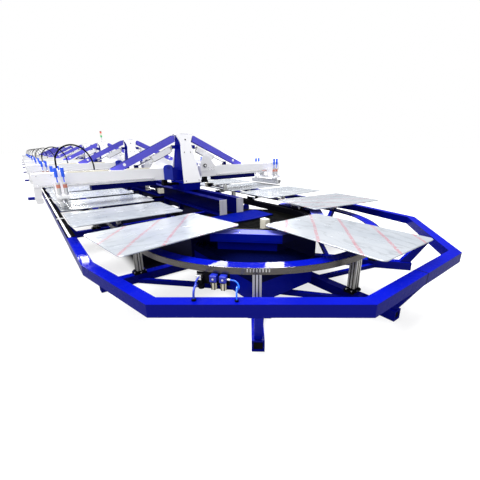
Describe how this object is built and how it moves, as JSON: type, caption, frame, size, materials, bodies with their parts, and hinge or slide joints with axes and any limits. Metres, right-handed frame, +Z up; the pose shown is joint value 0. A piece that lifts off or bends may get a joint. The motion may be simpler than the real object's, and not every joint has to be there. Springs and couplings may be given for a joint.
{
  "type": "oval automatic screen printing machine",
  "caption": "Long oval screen printing machine: indexing pallets on a track round a tubular frame, lifting print heads with sliding blade carriages",
  "frame": {"origin": "middle of the underside, on the floor", "axes": "+X across the machine, +Y along it, +Z up"},
  "size_m": [4.958, 31.4374, 2.129],
  "materials": {
    "blue_paint": "gloss ultramarine paint",
    "white_paint": "satin white paint",
    "navy_paint": "dark blue paint",
    "black_metal": "black finish",
    "aluminium": "milled",
    "pallet_aluminium": "milled plate under a pale film",
    "steel": "ground",
    "chrome": "polished",
    "blue_plastic": "bright blue",
    "black_rubber": "matte black",
    "blue_hose": "bright blue",
    "cream_plastic": "cream"
  },
  "bodies": {
    "machine": {"air_hose": "blue_hose", "air_regulators": "blue_plastic", "air_tube": "black_rubber", "control_block": "cream_plastic", "drive_cabinet": "navy_paint", "floor_beams": "blue_paint", "frame_end_far": "blue_paint", "frame_end_near": "blue_paint", "frame_side_left": "blue_paint", "frame_side_right": "blue_paint", "guide_rail": "black_metal", "hub_housings": "blue_paint", "pivot_pins": "chrome", "post_brackets": "black_metal", "rest_stops": "black_metal", "signal_lamp": "blue_plastic", "spine_beams": "blue_paint", "spine_end_plates": "aluminium", "tower_covers": "white_paint", "towers": "blue_paint", "track_band": "black_metal", "track_flange": "blue_paint", "track_posts": "aluminium"},
    "near_turn": {"pallets_near_turn": "pallet_aluminium", "arms_near_turn": "aluminium", "belt_near_turn": "black_rubber"},
    "far_turn": {"pallets_far_turn": "pallet_aluminium", "arms_far_turn": "aluminium", "belt_far_turn": "black_rubber"},
    "left_run": {"pallets_left_run": "pallet_aluminium", "arms_left_run": "aluminium", "belt_left_run": "black_rubber"},
    "right_run": {"pallets_right_run": "pallet_aluminium", "arms_right_run": "aluminium", "belt_right_run": "black_rubber"},
    "heads_left": {"head_beams_left": "white_paint", "head_arms_left": "blue_paint", "head_rails_left": "chrome", "head_drives_left": "navy_paint", "end_brackets_left": "white_paint", "hose_loops_left": "black_rubber"},
    "carriages_left": {"carriages_left": "white_paint", "blade_cylinders_left": "steel", "blade_knobs_left": "blue_plastic"},
    "squeegees_left": {"squeegees_left": "aluminium"},
    "flood_bars_left": {"flood_bars_left": "aluminium"},
    "lift_barrels_left": {"lift_barrels_left": "steel"},
    "lift_rods_left": {"lift_rods_left": "chrome"},
    "heads_right": {"head_beams_right": "white_paint", "head_arms_right": "blue_paint", "head_rails_right": "chrome", "head_drives_right": "navy_paint", "end_brackets_right": "white_paint"},
    "carriages_right": {"carriages_right": "white_paint", "blade_cylinders_right": "steel", "blade_knobs_right": "blue_plastic"},
    "squeegees_right": {"squeegees_right": "aluminium"},
    "flood_bars_right": {"flood_bars_right": "aluminium"},
    "lift_barrels_right": {"lift_barrels_right": "steel"},
    "lift_rods_right": {"lift_rods_right": "chrome"}
  },
  "joints": [
    {"name": "right_run_index", "type": "slide", "parent": "machine", "child": "right_run", "axis": [0, 1, 0], "range_m": [-0.10634, 0.10634]},
    {"name": "left_run_index", "type": "slide", "parent": "machine", "child": "left_run", "axis": [0, -1, 0], "range_m": [-0.10684, 0.10684]},
    {"name": "near_turn_index", "type": "hinge", "parent": "machine", "child": "near_turn", "pos_m": [0, -13.51866, 0.65], "axis": [0, 0, 1], "range_deg": [-8.05, 8.05]},
    {"name": "far_turn_index", "type": "hinge", "parent": "machine", "child": "far_turn", "pos_m": [0, 13.51866, 0.65], "axis": [0, 0, 1], "range_deg": [-8.05, 8.05]},
    {"name": "left_head_lift", "type": "hinge", "parent": "machine", "child": "heads_left", "pos_m": [-0.374, 0, 1.185], "axis": [0, 1, 0], "range_deg": [0, 4]},
    {"name": "left_carriage_slide", "type": "slide", "parent": "heads_left", "child": "carriages_left", "axis": [1, 0, 0], "range_m": [0, 1.25]},
    {"name": "left_squeegee_press", "type": "slide", "parent": "carriages_left", "child": "squeegees_left", "axis": [0, 0, -1], "range_m": [0, 0.026]},
    {"name": "left_flood_press", "type": "slide", "parent": "carriages_left", "child": "flood_bars_left", "axis": [0, 0, -1], "range_m": [0, 0.026]},
    {"name": "left_cylinder_swing", "type": "hinge", "parent": "machine", "child": "lift_barrels_left", "pos_m": [-0.2, 0, 1.53], "axis": [0, 1, 0], "range_deg": [-0.1, 2.54]},
    {"name": "left_rod_slide", "type": "slide", "parent": "lift_barrels_left", "child": "lift_rods_left", "axis": [-0.9095, 0, -0.4158], "range_m": [-0.0178, 0.0005]},
    {"name": "right_head_lift", "type": "hinge", "parent": "machine", "child": "heads_right", "pos_m": [0.374, 0, 1.185], "axis": [0, -1, 0], "range_deg": [0, 4]},
    {"name": "right_carriage_slide", "type": "slide", "parent": "heads_right", "child": "carriages_right", "axis": [-1, 0, 0], "range_m": [0, 1.25]},
    {"name": "right_squeegee_press", "type": "slide", "parent": "carriages_right", "child": "squeegees_right", "axis": [0, 0, -1], "range_m": [0, 0.026]},
    {"name": "right_flood_press", "type": "slide", "parent": "carriages_right", "child": "flood_bars_right", "axis": [0, 0, -1], "range_m": [0, 0.026]},
    {"name": "right_cylinder_swing", "type": "hinge", "parent": "machine", "child": "lift_barrels_right", "pos_m": [0.2, 0, 1.53], "axis": [0, -1, 0], "range_deg": [-0.1, 2.54]},
    {"name": "right_rod_slide", "type": "slide", "parent": "lift_barrels_right", "child": "lift_rods_right", "axis": [0.9095, 0, -0.4158], "range_m": [-0.0178, 0.0005]}
  ],
  "couplings": [
    {"joint": "left_run_index", "follows": "right_run_index", "ratio": 1},
    {"joint": "near_turn_index", "follows": "right_run_index", "rad_per_m": 1.313},
    {"joint": "far_turn_index", "follows": "right_run_index", "rad_per_m": 1.313},
    {"joint": "left_cylinder_swing", "follows": "left_head_lift", "ratio": 0.6105},
    {"joint": "left_rod_slide", "follows": "left_head_lift", "m_per_rad": -0.24777},
    {"joint": "right_cylinder_swing", "follows": "right_head_lift", "ratio": 0.6105},
    {"joint": "right_rod_slide", "follows": "right_head_lift", "m_per_rad": -0.24777}
  ]
}
